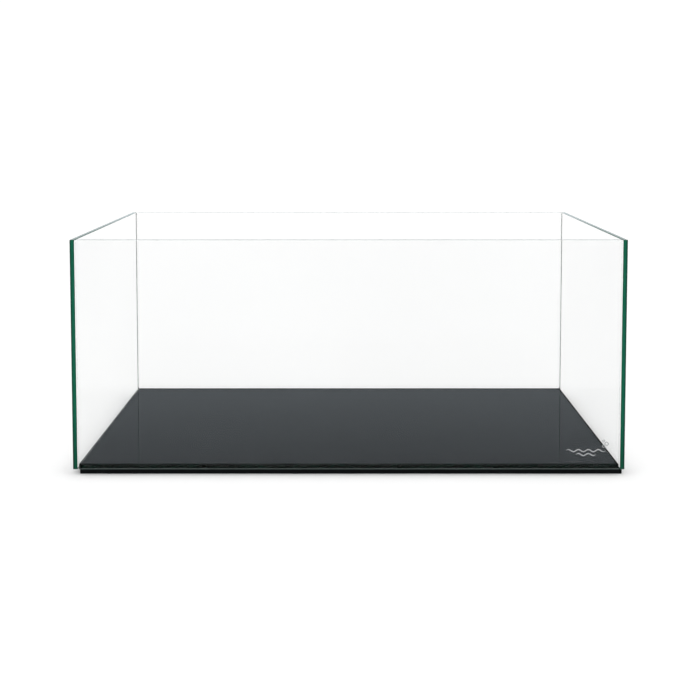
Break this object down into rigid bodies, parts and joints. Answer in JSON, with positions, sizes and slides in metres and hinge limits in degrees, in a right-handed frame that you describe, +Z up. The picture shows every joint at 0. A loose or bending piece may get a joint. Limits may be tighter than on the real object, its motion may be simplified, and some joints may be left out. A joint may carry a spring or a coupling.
{
  "type": "aquarium",
  "caption": "Shallow rimless glass aquarium: bonded clear panes with dark green polished edges, lying loose on a thin black foam levelling mat.",
  "frame": {"origin": "on the surface the mat lies on, under the middle of the tank", "axes": "+X along the long side to the right seen from the front, -Y is the front pane's side, +Z up"},
  "size_m": [0.61, 0.406, 0.261],
  "materials": {
    "glass": "clear float glass with polished dark green edges",
    "silicone": "clear aquarium silicone, slightly hazy",
    "foam": "matte black closed-cell foam",
    "print": "pale grey screen print on glass"
  },
  "bodies": {
    "mat": {"levelling_mat": "foam"},
    "tank": {"left_pane": "glass", "right_pane": "glass", "front_pane": "glass", "back_pane": "glass", "bottom_pane": "glass", "front_left_seam": "silicone", "front_right_seam": "silicone", "back_left_seam": "silicone", "back_right_seam": "silicone", "floor_front_seam": "silicone", "floor_back_seam": "silicone", "floor_left_seam": "silicone", "floor_right_seam": "silicone"}
  },
  "joints": [
    {"name": "tank_lift", "type": "slide", "parent": "mat", "child": "tank", "axis": [0, 0, 1], "range_m": [0, 0.15]}
  ]
}
